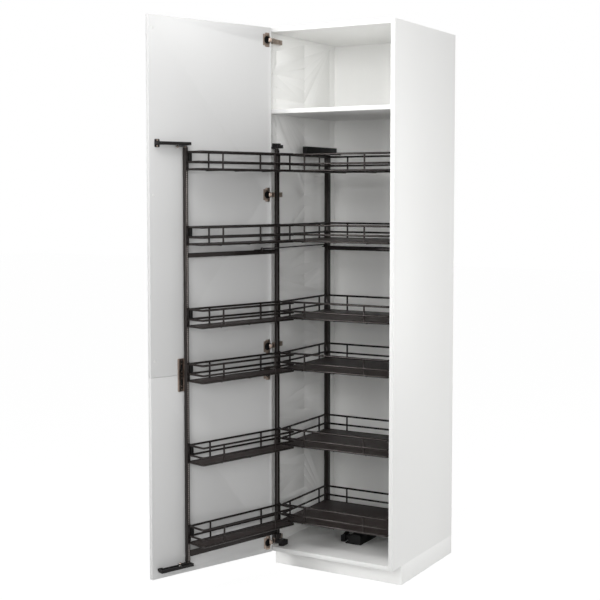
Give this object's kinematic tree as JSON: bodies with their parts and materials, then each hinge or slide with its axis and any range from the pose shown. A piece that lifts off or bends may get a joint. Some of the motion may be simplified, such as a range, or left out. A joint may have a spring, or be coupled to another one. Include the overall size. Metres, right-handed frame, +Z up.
{
  "type": "pull out larder unit",
  "caption": "Tall kitchen cabinet whose hinged front swings out shallow wire-railed shelves while a frame of deeper wire-railed shelves comes forward behind it.",
  "frame": {"origin": "on the floor, under the middle of the front plinth board", "axes": "+X to the right seen from the front, +Y towards the wall, +Z up"},
  "size_m": [0.781, 1.175, 2.28],
  "materials": {
    "white_board": "white melamine-faced board, satin",
    "white_front": "white foil front, satin",
    "dark_metal": "dark anthracite-brown powder coat, satin",
    "dark_sheet": "thin dark faced fibreboard, matt",
    "black_metal": "black powder coat, satin",
    "black_plastic": "black moulded plastic",
    "nickel": "nickel-plated steel",
    "pale_plastic": "off-white moulded roller",
    "soft_pad": "soft translucent pad"
  },
  "bodies": {
    "cabinet": {"side_panel_left": "white_board", "side_panel_right": "white_board", "top_panel": "white_board", "bottom_panel": "white_board", "fixed_shelf": "white_board", "back_panel": "white_board", "wall_fixing_rail": "white_board", "plinth_front": "white_board", "plinth_sides": "white_board", "legs": "black_plastic", "hinge_arms": "nickel", "swing_bracket_top": "black_metal", "swing_bracket_bottom": "black_metal", "top_guide": "black_plastic", "floor_guide": "black_plastic", "floor_damper": "black_plastic"},
    "hinge_link_set": {"hinge_links": "nickel"},
    "front": {"front_upper": "white_front", "front_lower": "white_front", "front_connector": "nickel", "hinge_cups": "nickel", "front_rails": "black_metal", "rail_brackets": "black_metal", "front_bumpers": "soft_pad"},
    "swing_frame": {"swing_upright_outer": "dark_metal", "swing_upright_pivot": "dark_metal", "swing_crossbars": "dark_metal", "swing_pins": "nickel", "swing_guard_1": "dark_metal", "swing_guard_2": "dark_metal", "swing_guard_3": "dark_metal", "swing_guard_4": "dark_metal", "swing_guard_5": "dark_metal", "swing_guard_6": "dark_metal", "swing_tray_1": "dark_sheet", "swing_tray_2": "dark_sheet", "swing_tray_3": "dark_sheet", "swing_tray_4": "dark_sheet", "swing_tray_5": "dark_sheet", "swing_tray_6": "dark_sheet"},
    "lever_pair": {"rail_levers": "black_metal"},
    "roller_pair": {"rail_rollers": "pale_plastic"},
    "strut": {"coupling_strut": "dark_metal"},
    "inner_frame": {"inner_upright_left": "dark_metal", "inner_upright_right": "dark_metal", "inner_crossbars": "dark_metal", "top_runner": "black_plastic", "floor_carriage": "black_metal", "inner_guard_1": "dark_metal", "inner_guard_2": "dark_metal", "inner_guard_3": "dark_metal", "inner_guard_4": "dark_metal", "inner_guard_5": "dark_metal", "inner_guard_6": "dark_metal", "inner_tray_1": "dark_sheet", "inner_tray_2": "dark_sheet", "inner_tray_3": "dark_sheet", "inner_tray_4": "dark_sheet", "inner_tray_5": "dark_sheet", "inner_tray_6": "dark_sheet"}
  },
  "joints": [
    {"name": "frame_swing", "type": "hinge", "parent": "cabinet", "child": "swing_frame", "pos_m": [-0.254, -0.071, 1], "axis": [0, 0, 1], "range_deg": [0, 106.1]},
    {"name": "hinge_link_turn", "type": "hinge", "parent": "cabinet", "child": "hinge_link_set", "pos_m": [-0.26121, -0.08411, 1], "axis": [0, 0, 1], "range_deg": [-60.02, 0]},
    {"name": "front_turn", "type": "hinge", "parent": "hinge_link_set", "child": "front", "pos_m": [-0.26384, -0.11503, 1], "axis": [0, 0, 1], "range_deg": [0, 170.02]},
    {"name": "rail_lever_turn", "type": "hinge", "parent": "swing_frame", "child": "lever_pair", "pos_m": [-0.38822, -0.53602, 1], "axis": [0, 0, 1], "range_deg": [-168.62, 0]},
    {"name": "rail_roller_spin", "type": "hinge", "parent": "lever_pair", "child": "roller_pair", "pos_m": [-0.40133, -0.56847, 1], "axis": [0, 0, 1], "continuous": true},
    {"name": "coupling_strut_turn", "type": "hinge", "parent": "swing_frame", "child": "strut", "pos_m": [-0.25564, -0.18488, 1.37], "axis": [0, 0, 1], "range_deg": [-92.95, 0]},
    {"name": "inner_frame_slide", "type": "slide", "parent": "cabinet", "child": "inner_frame", "axis": [0, 1, 0], "range_m": [0, 0.1361]}
  ],
  "couplings": [
    {"joint": "hinge_link_turn", "follows": "frame_swing", "ratio": -0.5655},
    {"joint": "front_turn", "follows": "frame_swing", "ratio": 1.6023},
    {"joint": "rail_lever_turn", "follows": "frame_swing", "ratio": -1.5891},
    {"joint": "coupling_strut_turn", "follows": "frame_swing", "ratio": -0.87586},
    {"joint": "inner_frame_slide", "follows": "frame_swing", "m_per_rad": 0.073442}
  ]
}
